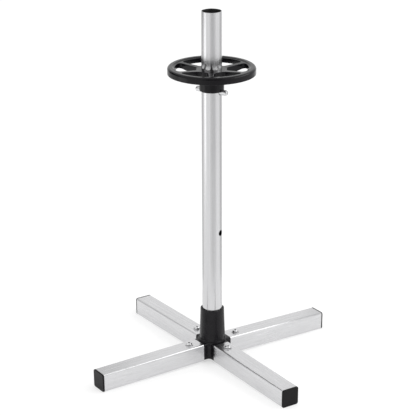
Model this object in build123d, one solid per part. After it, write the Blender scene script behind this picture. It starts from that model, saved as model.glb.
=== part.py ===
from build123d import *

import os
from math import asin, cos, degrees, radians, sin, sqrt

# A free-standing stand: four square-tube legs in a level cross, bolted to a moulded
# hub that holds an upright tube, with a spoked disc resting on a removable cross pin.
# Frame: origin on the floor under the tube's axis, +Z up, legs along +X, -X, +Y and -Y.
# Lengths are in millimetres and angles in degrees.

# Upright tube
POLE_DIAMETER = 50.0
POLE_WALL = 1.5
POLE_EDGE_ROUND = 0.4
# The free stretch above the disc
POLE_STUB = 142.5
# The cross holes and everything on the cross pin point this way, seen from above.
PIN_AZIMUTH = -65.0
LOWER_HOLE_HEIGHT = 343.0
PIN_HEIGHT = 706.0

# Cross pin
PIN_DIAMETER = 13.5
PIN_OVERHANG = 13.7
PIN_END_ROUND = 4.5

# Support disc
DISC_COLLAR_WALL = 4.9
DISC_COLLAR_HEIGHT = 31.0
DISC_COLLAR_EDGE_ROUND = 2.5
# The collar's lower edge lies just above the pin's axis.
DISC_COLLAR_LIFT = 1.0
HUB_RING_WIDTH = 7.1
SPOKE_COUNT = 6
SPOKE_LENGTH = 51.6
SPOKE_RIM_HALF_WIDTH = 5.2
SPOKE_ROOT_HALF_WIDTH = 7.6
SPOKE_WALL = 2.7
SPOKE_ROOF = 4.0
RIM_WIDTH = 18.3
RIM_HEIGHT = 17.0
RIM_LIFT = 12.0
RIM_LAND = 6.0
RIM_SHOULDER = 6.0
RIM_INNER_CHAMFER = 3.0
RIM_INNER_DROP = 2.0
RIM_GROOVE_WALL = 3.5
RIM_ROOF = 5.0
HUB_RING_DROP = 6.5
WINDOW_INNER_ROUND = 9.0
WINDOW_OUTER_ROUND = 9.0
WINDOW_EDGE_ROUND = 1.2
INNER_ROUND_SHARE = 0.4
WEB_MARGIN = 2.0

# Legs
LEG_REACH = 336.0
LEG_WIDTH = 46.0
LEG_WALL = 1.5
LEG_CORNER_RADIUS = 4.5
LEG_DROP = 0.95
LEG_NAMES = {"right": 0.0, "back": 90.0, "left": 180.0, "front": 270.0}

# Leg end caps
CAP_FLANGE = 4.0
CAP_PROUD = 0.3
CAP_CORNER_RADIUS = 5.5
CAP_EDGE_ROUND = 1.6
CAP_PLUG_LENGTH = 22.0
CAP_PLUG_WALL = 2.5
CAP_FIN_COUNT = 3
CAP_FIN_THICKNESS = 1.6
CAP_FIN_HEIGHT = 1.6

# Hub
HUB_WEB_ROUND = 8.5
HUB_WEB_DROP = 2.0
HUB_UNDERCUT = 3.4
HUB_LEDGE = 4.2
FLANGE_WIDTH = 3.4
FLANGE_RISE = 1.9
FLANGE_THICKNESS = 5.0
FLANGE_EDGE_ROUND = 1.2
COLLAR_HEIGHT = 83.5
COLLAR_TOP_WALL = 4.9
COLLAR_TAPER = 2.5
COLLAR_BASE_ROUND = 1.8
COLLAR_RIM_ROUND = 1.4
SOCKET_LEAD_IN = 1.6
SOCKET_FLOOR_WALL = 11.0
SPIGOT_LENGTH = 56.0
SPIGOT_WALL = 4.0
BOLT_BOSS_HALF = 11.0

# Leg bolts, washers and captive nuts
BOLT_SETBACK = 30.0
BOLT_DIAMETER = 8.0
BOLT_LENGTH = 25.0
BOLT_HEAD_DIAMETER = 16.0
BOLT_HEAD_HEIGHT = 4.4
BOLT_HEAD_RIM = 0.8
BOLT_HEAD_LAND = 0.9
BOLT_HEAD_CROWN = 0.9
BOLT_SOCKET_ACROSS_FLATS = 5.0
BOLT_SOCKET_DEPTH = 2.6
WASHER_DIAMETER = 20.0
WASHER_THICKNESS = 1.5
NUT_ACROSS_FLATS = 13.0
NUT_HEIGHT = 6.5
NUT_ROOF = 12.0

# Clearances
SOCKET_CLEARANCE = 0.1
SEAT_CLEARANCE = 0.3
CROSS_HOLE_CLEARANCE = 0.75
DISC_BORE_CLEARANCE = 0.4
PIN_NOTCH_CLEARANCE = 0.4
PLUG_CLEARANCE = 0.15
END_GAP = 0.2
BOLT_HOLE_CLEARANCE = 0.4
THREAD_CLEARANCE = 0.05
NUT_CLEARANCE = 0.15

# The collar and the legs' start follow the upright tube.
POLE_RADIUS = POLE_DIAMETER / 2
COLLAR_TOP_RADIUS = POLE_RADIUS + COLLAR_TOP_WALL
COLLAR_BASE_RADIUS = COLLAR_TOP_RADIUS + COLLAR_TAPER
FLANGE_RADIUS = COLLAR_BASE_RADIUS + FLANGE_WIDTH
HUB_REACH = FLANGE_RADIUS + HUB_LEDGE
BOLT_DISTANCE = HUB_REACH + BOLT_SETBACK

# The hub's heights follow the legs, which rise towards it.
LEG_RISE = LEG_REACH * sin(radians(LEG_DROP))
HUB_BOTTOM = LEG_RISE + HUB_UNDERCUT
FLANGE_TOP = LEG_RISE + LEG_WIDTH * cos(radians(LEG_DROP)) + FLANGE_RISE
COLLAR_TOP = FLANGE_TOP + COLLAR_HEIGHT
SOCKET_FLOOR = HUB_BOTTOM + SOCKET_FLOOR_WALL
POLE_BOTTOM = SOCKET_FLOOR + SEAT_CLEARANCE
TUBE_INSIDE = LEG_WIDTH - 2 * LEG_WALL
SPIGOT_WIDTH = TUBE_INSIDE - 2 * PLUG_CLEARANCE

# The disc's radii follow the upright tube, and its heights follow the cross pin.
DISC_BORE_RADIUS = POLE_RADIUS + DISC_BORE_CLEARANCE
DISC_COLLAR_RADIUS = DISC_BORE_RADIUS + DISC_COLLAR_WALL
HUB_RING_RADIUS = DISC_COLLAR_RADIUS + HUB_RING_WIDTH
RIM_INNER_RADIUS = HUB_RING_RADIUS + SPOKE_LENGTH
RIM_OUTER_RADIUS = RIM_INNER_RADIUS + RIM_WIDTH
DISC_COLLAR_BOTTOM = PIN_HEIGHT + DISC_COLLAR_LIFT
SPOKE_ROOT_BOTTOM = DISC_COLLAR_BOTTOM + DISC_COLLAR_HEIGHT
RIM_BOTTOM = SPOKE_ROOT_BOTTOM + RIM_LIFT
RIM_INNER_BOTTOM = RIM_BOTTOM + RIM_INNER_CHAMFER
RIM_CROWN = RIM_BOTTOM + RIM_HEIGHT
RIM_INNER_TOP = RIM_CROWN - RIM_INNER_DROP
HUB_RING_TOP = RIM_CROWN - HUB_RING_DROP
SPOKE_PITCH = 360.0 / SPOKE_COUNT

# The pin and its holes follow each other and the disc's collar.
PIN_RADIUS = PIN_DIAMETER / 2
PIN_LENGTH = 2 * (DISC_COLLAR_RADIUS + PIN_OVERHANG)
CROSS_HOLE_RADIUS = PIN_RADIUS + CROSS_HOLE_CLEARANCE
POLE_TOP = HUB_RING_TOP + POLE_STUB


def ring_edge(shape, radius, height):
    """The circular edge of a turned shape at a radius and a height."""
    circles = shape.edges().filter_by(GeomType.CIRCLE)
    return min(
        circles, key=lambda edge: abs(edge.radius - radius) + abs(edge.arc_center.Z - height)
    )


def polar(radius, azimuth):
    """The plan point at a radius and an azimuth from +X."""
    return radius * cos(radians(azimuth)), radius * sin(radians(azimuth))


def along_pin(height):
    """A plane across the pin's direction, centred on the tube's axis at a height."""
    x, y = polar(1.0, PIN_AZIMUTH)
    return Plane(origin=(0, 0, height), x_dir=(-y, x, 0), z_dir=(x, y, 0))


def on_leg(azimuth):
    """The frame of one leg: x outwards along it, z up from its underside, origin at its outer end."""
    outer_end = Location((LEG_REACH, 0, 0), (0, LEG_DROP, 0))
    return Location((0, 0, 0), (0, 0, azimuth)) * outer_end


def rounded_bar(width, height, corner, start, end, base=0.0):
    """A bar along x from start to end, with rounded long edges, resting at height base."""
    section = Plane(origin=(start, 0, base + height / 2), x_dir=(0, 1, 0), z_dir=(1, 0, 0))
    return extrude(section * RectangleRounded(width, height, corner), end - start)


def leg_tube():
    """A square tube in the leg's frame, drilled on top for its bolt."""
    start = HUB_REACH + END_GAP - LEG_REACH
    outside = rounded_bar(LEG_WIDTH, LEG_WIDTH, LEG_CORNER_RADIUS, start, -CAP_FLANGE)
    inside = rounded_bar(
        TUBE_INSIDE, TUBE_INSIDE, LEG_CORNER_RADIUS - LEG_WALL, start, -CAP_FLANGE, LEG_WALL
    )
    drill = Pos(BOLT_DISTANCE - LEG_REACH, 0, LEG_WIDTH) * Cylinder(
        BOLT_DIAMETER / 2 + BOLT_HOLE_CLEARANCE, 3 * LEG_WALL
    )
    return outside - inside - drill


def leg_cap(azimuth):
    """A tube plug in place: a flange that covers the tube's end, and a finned box inside it."""
    width = LEG_WIDTH + 2 * CAP_PROUD
    flange = rounded_bar(width, width, CAP_CORNER_RADIUS, -CAP_FLANGE, 0, -CAP_PROUD)
    flange = fillet(flange.faces().sort_by(Axis.X)[-1].edges(), CAP_EDGE_ROUND)
    core_width = SPIGOT_WIDTH - 2 * CAP_FIN_HEIGHT
    core_base = (LEG_WIDTH - core_width) / 2
    core_end = -CAP_FLANGE - CAP_PLUG_LENGTH
    corner = LEG_CORNER_RADIUS - LEG_WALL - PLUG_CLEARANCE
    plug = flange + rounded_bar(core_width, core_width, corner, core_end, -CAP_FLANGE, core_base)
    pitch = CAP_PLUG_LENGTH / CAP_FIN_COUNT
    fin_base = (LEG_WIDTH - SPIGOT_WIDTH) / 2
    for index in range(CAP_FIN_COUNT):
        start = -CAP_FLANGE - (index + 1) * pitch + CAP_FIN_THICKNESS
        plug += rounded_bar(
            SPIGOT_WIDTH, SPIGOT_WIDTH, corner, start, start + CAP_FIN_THICKNESS, fin_base
        )
    hollow_width = core_width - 2 * CAP_PLUG_WALL
    hollow_base = (LEG_WIDTH - hollow_width) / 2
    plug -= Pos((core_end - CAP_FLANGE) / 2, 0, hollow_base + hollow_width / 2) * Box(
        CAP_PLUG_LENGTH, hollow_width, hollow_width
    )
    placed = on_leg(azimuth) * plug
    # The flange's underside is trimmed level, so that the stand rests on four flats.
    below_floor = Pos(0, 0, -LEG_WIDTH / 2) * Box(4 * LEG_REACH, 4 * LEG_REACH, LEG_WIDTH)
    return placed - below_floor


def hexagon_prism(across_flats, height):
    """A six-sided prism standing on z = 0."""
    return extrude(RegularPolygon(across_flats / 2, 6, major_radius=False), height)


def leg_bolt():
    """A button-head bolt with a hexagon socket, on its washer, in the leg's frame."""
    seat = LEG_WIDTH + WASHER_THICKNESS
    head_radius = BOLT_HEAD_DIAMETER / 2
    flat_radius = BOLT_SOCKET_ACROSS_FLATS / 2 + BOLT_HEAD_LAND
    with BuildPart() as head:
        with BuildSketch(Plane.XZ):
            with BuildLine():
                Polyline((head_radius, BOLT_HEAD_RIM), (head_radius, 0), (0, 0), (0, BOLT_HEAD_HEIGHT))
                Line((0, BOLT_HEAD_HEIGHT), (flat_radius, BOLT_HEAD_HEIGHT))
                SagittaArc(
                    (flat_radius, BOLT_HEAD_HEIGHT), (head_radius, BOLT_HEAD_RIM), BOLT_HEAD_CROWN
                )
            make_face()
        revolve(axis=Axis.Z)
    socket = Pos(0, 0, BOLT_HEAD_HEIGHT - BOLT_SOCKET_DEPTH) * hexagon_prism(
        BOLT_SOCKET_ACROSS_FLATS, BOLT_SOCKET_DEPTH
    )
    shank = Pos(0, 0, -BOLT_LENGTH / 2) * Cylinder(BOLT_DIAMETER / 2, BOLT_LENGTH)
    shank = chamfer(shank.edges().sort_by(Axis.Z)[0], BOLT_DIAMETER / 10)
    return Pos(BOLT_DISTANCE - LEG_REACH, 0, seat) * (head.part + shank - socket)


def leg_washer():
    """The flat washer under a bolt head, in the leg's frame."""
    ring = Cylinder(WASHER_DIAMETER / 2, WASHER_THICKNESS)
    ring = fillet(ring.edges().sort_by(Axis.Z)[-1], WASHER_THICKNESS / 4)
    ring -= Cylinder(BOLT_DIAMETER / 2 + THREAD_CLEARANCE, WASHER_THICKNESS)
    return Pos(BOLT_DISTANCE - LEG_REACH, 0, LEG_WIDTH + WASHER_THICKNESS / 2) * ring


def leg_nut():
    """The captive nut that sits in a spigot, in the leg's frame."""
    top = LEG_WIDTH - LEG_WALL - PLUG_CLEARANCE - NUT_ROOF
    nut = hexagon_prism(NUT_ACROSS_FLATS, NUT_HEIGHT)
    nut -= Cylinder(BOLT_DIAMETER / 2 + THREAD_CLEARANCE, 3 * NUT_HEIGHT)
    return Pos(BOLT_DISTANCE - LEG_REACH, 0, top - NUT_HEIGHT) * nut


def spigot():
    """The part of the hub that fills the start of a leg, in the leg's frame."""
    start = HUB_REACH - LEG_REACH - SPIGOT_WALL
    end = HUB_REACH - LEG_REACH + SPIGOT_LENGTH
    base = LEG_WALL + PLUG_CLEARANCE
    corner = LEG_CORNER_RADIUS - LEG_WALL - PLUG_CLEARANCE
    bar = rounded_bar(SPIGOT_WIDTH, SPIGOT_WIDTH, corner, start, end, base)
    bolt_x = BOLT_DISTANCE - LEG_REACH
    pocket_width = SPIGOT_WIDTH - 2 * SPIGOT_WALL
    pocket_height = SPIGOT_WIDTH - SPIGOT_WALL
    spans = (
        (HUB_REACH - LEG_REACH + SPIGOT_WALL, bolt_x - BOLT_BOSS_HALF),
        (bolt_x + BOLT_BOSS_HALF, end - SPIGOT_WALL),
    )
    for low, high in spans:
        bar -= Pos((low + high) / 2, 0, base + pocket_height / 2) * Box(
            high - low, pocket_width, pocket_height
        )
    roof = base + SPIGOT_WIDTH - NUT_ROOF
    bar -= Pos(bolt_x, 0, base) * hexagon_prism(NUT_ACROSS_FLATS + 2 * NUT_CLEARANCE, roof - base)
    bar -= Pos(bolt_x, 0, LEG_WIDTH / 2) * Cylinder(
        BOLT_DIAMETER / 2 + BOLT_HOLE_CLEARANCE, 2 * LEG_WIDTH
    )
    return bar


def hub_block():
    """The block between the legs: two crossing bars of the tubes' section, rounded where they meet."""
    block = Part()
    for azimuth in LEG_NAMES.values():
        arm = rounded_bar(
            LEG_WIDTH, LEG_WIDTH, LEG_CORNER_RADIUS, -LEG_REACH, HUB_REACH - LEG_REACH
        )
        block += on_leg(azimuth) * arm
    half = LEG_WIDTH / 2
    far = half + HUB_WEB_ROUND
    inside = half - LEG_CORNER_RADIUS
    middle = far - HUB_WEB_ROUND * sqrt(0.5)
    with BuildPart() as webs:
        with BuildSketch(Plane.XY.offset(HUB_BOTTOM)):
            with BuildLine():
                Polyline((far, half), (far, inside), (inside, inside), (inside, far), (half, far))
                ThreePointArc((half, far), (middle, middle), (far, half))
            make_face()
        extrude(amount=FLANGE_TOP - FLANGE_THICKNESS - HUB_WEB_DROP - HUB_BOTTOM)
    for azimuth in LEG_NAMES.values():
        block += Location((0, 0, 0), (0, 0, azimuth)) * webs.part
    return block - Pos(0, 0, HUB_BOTTOM - LEG_WIDTH / 2) * Box(4 * far, 4 * far, LEG_WIDTH)


def collar():
    """The turned flange and tapered collar that rise from the block round the socket."""
    low = FLANGE_TOP - FLANGE_THICKNESS
    with BuildPart() as turned:
        with BuildSketch(Plane.XZ):
            with BuildLine():
                Polyline(
                    (0, low),
                    (FLANGE_RADIUS, low),
                    (FLANGE_RADIUS, FLANGE_TOP),
                    (COLLAR_BASE_RADIUS, FLANGE_TOP),
                    (COLLAR_TOP_RADIUS, COLLAR_TOP),
                    (0, COLLAR_TOP),
                    (0, low),
                )
            make_face()
        revolve(axis=Axis.Z)
    turned = turned.part
    for radius, height, size in (
        (COLLAR_TOP_RADIUS, COLLAR_TOP, COLLAR_RIM_ROUND),
        (COLLAR_BASE_RADIUS, FLANGE_TOP, COLLAR_BASE_ROUND),
        (FLANGE_RADIUS, FLANGE_TOP, FLANGE_EDGE_ROUND),
    ):
        turned = fillet(ring_edge(turned, radius, height), size)
    return turned


def hub():
    """The moulded hub: block, four spigots, and the collar with the socket for the tube."""
    body = hub_block() + collar()
    for azimuth in LEG_NAMES.values():
        body += on_leg(azimuth) * spigot()
    socket_radius = POLE_RADIUS + SOCKET_CLEARANCE
    depth = COLLAR_TOP - SOCKET_FLOOR
    body -= Pos(0, 0, SOCKET_FLOOR + depth / 2) * Cylinder(socket_radius, depth)
    body -= Pos(0, 0, COLLAR_TOP - SOCKET_LEAD_IN / 2) * Cone(
        socket_radius, socket_radius + SOCKET_LEAD_IN, SOCKET_LEAD_IN
    )
    return body


def pole():
    """The upright tube with two pairs of cross holes."""
    length = POLE_TOP - POLE_BOTTOM
    tube = Cylinder(POLE_RADIUS, length) - Cylinder(POLE_RADIUS - POLE_WALL, length)
    tube = Pos(0, 0, POLE_BOTTOM + length / 2) * tube
    tube = fillet(tube.edges().group_by(Axis.Z)[-1], POLE_EDGE_ROUND)
    for height in (LOWER_HOLE_HEIGHT, PIN_HEIGHT):
        drill = extrude(along_pin(height) * Circle(CROSS_HOLE_RADIUS), POLE_DIAMETER, both=True)
        tube -= drill
    return tube


def cross_pin():
    """The plain pin with rounded ends that carries the disc."""
    pin = extrude(along_pin(PIN_HEIGHT) * Circle(PIN_RADIUS), PIN_LENGTH / 2, both=True)
    return fillet(pin.edges().filter_by(GeomType.CIRCLE), PIN_END_ROUND)


def disc_blank():
    """The disc's turned shape before its windows: crowned rim, web, hub ring and collar."""
    crown_outer = RIM_OUTER_RADIUS - RIM_SHOULDER
    crown_inner = crown_outer - RIM_LAND
    shoulder = RIM_CROWN - RIM_SHOULDER
    groove_outer = RIM_OUTER_RADIUS - RIM_GROOVE_WALL
    groove_inner = RIM_INNER_RADIUS + RIM_GROOVE_WALL
    groove_top = RIM_CROWN - RIM_ROOF
    with BuildPart() as blank:
        with BuildSketch(Plane.XZ):
            with BuildLine():
                Polyline(
                    (DISC_BORE_RADIUS, DISC_COLLAR_BOTTOM),
                    (DISC_COLLAR_RADIUS, DISC_COLLAR_BOTTOM),
                    (DISC_COLLAR_RADIUS, SPOKE_ROOT_BOTTOM),
                    (RIM_INNER_RADIUS, RIM_INNER_BOTTOM),
                    (groove_inner, RIM_INNER_BOTTOM),
                    (groove_inner, groove_top),
                    (groove_outer, groove_top),
                    (groove_outer, RIM_BOTTOM),
                    (RIM_OUTER_RADIUS, RIM_BOTTOM),
                    (RIM_OUTER_RADIUS, shoulder),
                )
                RadiusArc((RIM_OUTER_RADIUS, shoulder), (crown_outer, RIM_CROWN), -RIM_SHOULDER)
                Polyline(
                    (crown_outer, RIM_CROWN),
                    (crown_inner, RIM_CROWN),
                    (RIM_INNER_RADIUS + WEB_MARGIN, RIM_INNER_TOP),
                    (HUB_RING_RADIUS - WEB_MARGIN, HUB_RING_TOP),
                    (DISC_BORE_RADIUS, HUB_RING_TOP),
                    (DISC_BORE_RADIUS, DISC_COLLAR_BOTTOM),
                )
            make_face()
        revolve(axis=Axis.Z)
    return fillet(
        ring_edge(blank.part, DISC_COLLAR_RADIUS, DISC_COLLAR_BOTTOM), DISC_COLLAR_EDGE_ROUND
    )


def window_outline():
    """One window between two spokes: it follows the hub ring, both spokes and the rim."""
    half_pitch = SPOKE_PITCH / 2
    inner_angle = half_pitch - degrees(asin(SPOKE_ROOT_HALF_WIDTH / HUB_RING_RADIUS))
    outer_angle = half_pitch - degrees(asin(SPOKE_RIM_HALF_WIDTH / RIM_INNER_RADIUS))
    inner = [polar(HUB_RING_RADIUS, turn) for turn in (-inner_angle, inner_angle)]
    outer = [polar(RIM_INNER_RADIUS, turn) for turn in (-outer_angle, outer_angle)]
    with BuildSketch() as outline:
        with BuildLine():
            Line(inner[0], outer[0])
            ThreePointArc(outer[0], (RIM_INNER_RADIUS, 0), outer[1])
            Line(outer[1], inner[1])
            ThreePointArc(inner[1], (HUB_RING_RADIUS, 0), inner[0])
        make_face()
    # Both inner rounds have to fit side by side along the hub ring.
    inner_round = min(WINDOW_INNER_ROUND, INNER_ROUND_SHARE * (inner[1][1] - inner[0][1]))
    sketch = outline.sketch
    sketch = fillet(sketch.vertices().sort_by(Axis.X)[-2:], WINDOW_OUTER_ROUND)
    return fillet(sketch.vertices().sort_by(Axis.X)[:2], inner_round)


def spoke_channel():
    """The channel under one spoke along +X, which leaves it a wall on each side and a roof."""
    start = HUB_RING_RADIUS + SPOKE_WALL
    end = RIM_INNER_RADIUS - SPOKE_WALL
    width = 2 * (SPOKE_RIM_HALF_WIDTH - SPOKE_WALL)
    low = DISC_COLLAR_BOTTOM
    slope = (RIM_INNER_TOP - HUB_RING_TOP) / (RIM_INNER_RADIUS - HUB_RING_RADIUS)
    with BuildPart() as channel:
        with BuildSketch(Plane.XZ):
            with BuildLine():
                Polyline(
                    (start, low),
                    (end, low),
                    (end, HUB_RING_TOP + slope * (end - HUB_RING_RADIUS) - SPOKE_ROOF),
                    (start, HUB_RING_TOP + slope * (start - HUB_RING_RADIUS) - SPOKE_ROOF),
                    (start, low),
                )
            make_face()
        extrude(amount=width / 2, both=True)
    return channel.part


def support_disc():
    """The spoked disc, with one spoke over each end of the cross pin."""
    disc = disc_blank()
    height = RIM_CROWN - DISC_COLLAR_BOTTOM
    window = extrude(Plane.XY.offset(DISC_COLLAR_BOTTOM) * window_outline(), 2 * height)
    azimuths = [PIN_AZIMUTH + index * SPOKE_PITCH for index in range(SPOKE_COUNT)]
    for azimuth in azimuths:
        disc -= Location((0, 0, 0), (0, 0, azimuth + SPOKE_PITCH / 2)) * window
    web_top = max(disc.faces(), key=lambda face: len(face.inner_wires()))
    rims = [edge for wire in web_top.inner_wires() for edge in wire.edges()]
    disc = fillet(rims, WINDOW_EDGE_ROUND)
    for azimuth in azimuths:
        disc -= Location((0, 0, 0), (0, 0, azimuth)) * spoke_channel()
    notch_radius = PIN_RADIUS + PIN_NOTCH_CLEARANCE
    disc -= extrude(along_pin(PIN_HEIGHT) * Circle(notch_radius), 2 * DISC_COLLAR_RADIUS, both=True)
    return disc


def save(name, shape):
    """Write one node's solids to its file."""
    export_step(shape, f"parts/{name}.step")


def fasteners(piece):
    """Four copies of a piece of leg hardware as separate solids."""
    return Compound([on_leg(azimuth) * piece for azimuth in LEG_NAMES.values()])


os.makedirs("parts", exist_ok=True)
save("base_hub", hub())
save("upright_pole", pole())
save("cross_pin", cross_pin())
save("support_disc", support_disc())
tube_piece = leg_tube()
for leg_name, leg_azimuth in LEG_NAMES.items():
    save(f"leg_tube_{leg_name}", on_leg(leg_azimuth) * tube_piece)
    save(f"leg_cap_{leg_name}", leg_cap(leg_azimuth))
save("leg_bolts", fasteners(leg_bolt()))
save("leg_washers", fasteners(leg_washer()))
save("leg_nuts", fasteners(leg_nut()))
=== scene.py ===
"""Looks of a free-standing wheel storage stand.

Four brushed square tubes form a low cross, bolted to a black moulded hub. The hub holds a
polished upright tube, and a black spoked disc rests on a bright cross pin near its top.
All lengths are in metres and all angles in degrees.
"""

import logging
from dataclasses import dataclass
from enum import Enum
from functools import cache
from math import cos, pi, radians, sin
from typing import Any

import bpy
import numpy as np
from mathutils import Matrix, Quaternion, Vector


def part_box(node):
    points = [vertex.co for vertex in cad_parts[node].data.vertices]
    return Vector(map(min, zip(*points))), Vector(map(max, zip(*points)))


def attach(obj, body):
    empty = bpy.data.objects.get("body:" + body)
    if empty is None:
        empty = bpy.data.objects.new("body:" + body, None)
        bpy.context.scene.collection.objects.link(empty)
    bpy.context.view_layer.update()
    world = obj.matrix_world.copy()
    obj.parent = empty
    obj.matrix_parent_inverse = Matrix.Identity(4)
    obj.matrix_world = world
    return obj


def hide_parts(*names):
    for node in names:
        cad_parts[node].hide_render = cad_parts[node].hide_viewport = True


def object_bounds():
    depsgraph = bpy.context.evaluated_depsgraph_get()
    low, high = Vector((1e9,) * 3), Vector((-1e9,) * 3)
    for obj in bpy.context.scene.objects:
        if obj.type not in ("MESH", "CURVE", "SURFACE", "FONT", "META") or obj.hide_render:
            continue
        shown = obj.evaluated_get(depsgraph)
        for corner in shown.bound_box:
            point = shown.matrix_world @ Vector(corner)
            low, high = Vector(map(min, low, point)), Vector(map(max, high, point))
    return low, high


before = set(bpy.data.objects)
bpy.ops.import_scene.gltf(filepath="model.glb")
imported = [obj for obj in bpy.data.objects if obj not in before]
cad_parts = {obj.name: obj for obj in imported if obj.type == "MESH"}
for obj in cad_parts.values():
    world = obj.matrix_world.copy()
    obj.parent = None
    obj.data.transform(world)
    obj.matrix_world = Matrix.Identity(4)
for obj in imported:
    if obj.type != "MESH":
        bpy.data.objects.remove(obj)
CAD_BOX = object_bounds()

LOG = logging.getLogger("wheel_stand")

# How far the bright steel reaches round a tube's cut edge before the dark inside, painted as shade,
# begins.
CUT_EDGE = 0.0004
# A quarter of a turn, on the shader's scale of whole turns.
QUARTER_TURN = 0.25
# How far the floor lies under the stand, so that their faces never coincide.
FLOOR_GAP = 0.0002
# Coordinates that are not stretched.
EVEN = (1.0, 1.0, 1.0)

Colour = tuple[float, float, float]
Point = tuple[float, float, float]
Grid = np.ndarray


class Direction(Enum):
    """The direction along which a tube was drawn and brushed."""

    ALONG_X = 0
    ALONG_Y = 1
    ALONG_Z = 2


class Leg(Enum):
    """The four legs: the azimuth each one points to, seen from above."""

    RIGHT = 0.0
    BACK = 90.0
    LEFT = 180.0
    FRONT = 270.0

    @property
    def tube(self) -> str:
        """The node of this leg's square tube."""
        return f"leg_tube_{self.name.lower()}"

    @property
    def cap(self) -> str:
        """The node of the plug in this leg's end."""
        return f"leg_cap_{self.name.lower()}"

    @property
    def direction(self) -> Direction:
        """The direction in which this leg's tube was drawn."""
        return Direction.ALONG_X if self in (Leg.RIGHT, Leg.LEFT) else Direction.ALONG_Y


# ---------------------------------------------------------------------------
# Node trees
# ---------------------------------------------------------------------------


class Graph:
    """A node tree under construction."""

    def __init__(self, tree: bpy.types.NodeTree) -> None:
        """Takes over a tree and empties it.

        Args:
            tree: The tree of a material, a world or a group.
        """
        self.tree = tree
        tree.nodes.clear()

    def node(self, kind: str, **settings: Any) -> bpy.types.Node:
        """Adds a node.

        Args:
            kind: Blender's name of the node type.
            settings: Properties of the node to set.

        Returns:
            The new node.
        """
        node = self.tree.nodes.new(kind)
        for name, value in settings.items():
            setattr(node, name, value)
        return node

    def join(self, source: bpy.types.NodeSocket, target: bpy.types.NodeSocket) -> None:
        """Links an output to an input."""
        self.tree.links.new(source, target)

    def feed(self, socket: bpy.types.NodeSocket, value: Any) -> None:
        """Links an output to an input, or sets the input's own number.

        Args:
            socket: The input.
            value: An output socket, or a plain value.
        """
        if isinstance(value, bpy.types.NodeSocket):
            self.join(value, socket)
        else:
            socket.default_value = value

    def math(self, operation: str, *values: Any, clamp: bool = False) -> bpy.types.NodeSocket:
        """Adds a Math node.

        Args:
            operation: The operation's name.
            values: Its inputs, as sockets or numbers.
            clamp: Whether the result is kept between 0 and 1.

        Returns:
            The result's socket.
        """
        node = self.node("ShaderNodeMath", operation=operation, use_clamp=clamp)
        for socket, value in zip(node.inputs, values):
            self.feed(socket, value)
        return node.outputs["Value"]

    def span(self, value: Any, low: Any, high: Any, start: float = 0.0, end: float = 1.0) -> Any:
        """Maps a value from start..end to low..high, and keeps it inside.

        Args:
            value: The socket to map.
            low: The result at start.
            high: The result at end.
            start: Where the mapping begins.
            end: Where the mapping ends.

        Returns:
            The result's socket.
        """
        node = self.node("ShaderNodeMapRange", clamp=True)
        for name, item in (
            ("Value", value),
            ("From Min", start),
            ("From Max", end),
            ("To Min", low),
            ("To Max", high),
        ):
            self.feed(node.inputs[name], item)
        return node.outputs["Result"]

    def weigh(self, first: Any, second: Any, share: float) -> bpy.types.NodeSocket:
        """Adds two values by weight.

        Args:
            first: The value that counts for what the share leaves.
            second: The value that counts for the share.
            share: The second value's weight, 0 to 1.

        Returns:
            The sum's socket.
        """
        part = self.math("MULTIPLY", second, share)
        return self.math("MULTIPLY_ADD", first, 1.0 - share, part)

    def mix(self, share: Any, first: Any, second: Any) -> bpy.types.NodeSocket:
        """Mixes two colours.

        Args:
            share: How much of the second colour shows, 0 to 1.
            first: The colour at 0, a socket or three numbers.
            second: The colour at 1, a socket or three numbers.

        Returns:
            The mixed colour's socket.
        """
        node = self.node("ShaderNodeMix", data_type="RGBA")
        self.feed(node.inputs["Factor"], share)
        for name, colour in (("A", first), ("B", second)):
            socket = next(s for s in node.inputs if s.name == name and s.type == "RGBA")
            plain = isinstance(colour, tuple)
            self.feed(socket, (*colour, 1.0) if plain else colour)
        return next(s for s in node.outputs if s.type == "RGBA")

    def noise(self, vector: Any, scale: Any, detail: float, rough: float = 0.5) -> Any:
        """Adds a noise texture.

        Args:
            vector: The coordinates it reads.
            scale: Its features per metre.
            detail: How many finer layers it has.
            rough: How strong those layers are.

        Returns:
            The socket of its value, which runs from 0 to 1 about 0.5.
        """
        node = self.node("ShaderNodeTexNoise")
        self.feed(node.inputs["Vector"], vector)
        self.feed(node.inputs["Scale"], scale)
        node.inputs["Detail"].default_value = detail
        node.inputs["Roughness"].default_value = rough
        return node.outputs["Fac"]

    def stretched(self, scale: tuple[float, float, float]) -> bpy.types.NodeSocket:
        """Adds the object's own coordinates.

        Args:
            scale: The factor by which they are multiplied along each axis.

        Returns:
            The scaled coordinates' socket.
        """
        place = self.node("ShaderNodeTexCoord")
        mapping = self.node("ShaderNodeMapping", vector_type="POINT")
        self.join(place.outputs["Object"], mapping.inputs["Vector"])
        mapping.inputs["Scale"].default_value = scale
        return mapping.outputs["Vector"]

    def bump(self, height: Any, strength: float, distance: float) -> bpy.types.NodeSocket:
        """Adds a bump.

        Args:
            height: The socket of its height, 0 to 1.
            strength: How much it turns the normal.
            distance: The height in metres of a value of 1.

        Returns:
            The bent normal's socket.
        """
        node = self.node("ShaderNodeBump")
        node.inputs["Strength"].default_value = strength
        node.inputs["Distance"].default_value = distance
        self.join(height, node.inputs["Height"])
        return node.outputs["Normal"]


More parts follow.
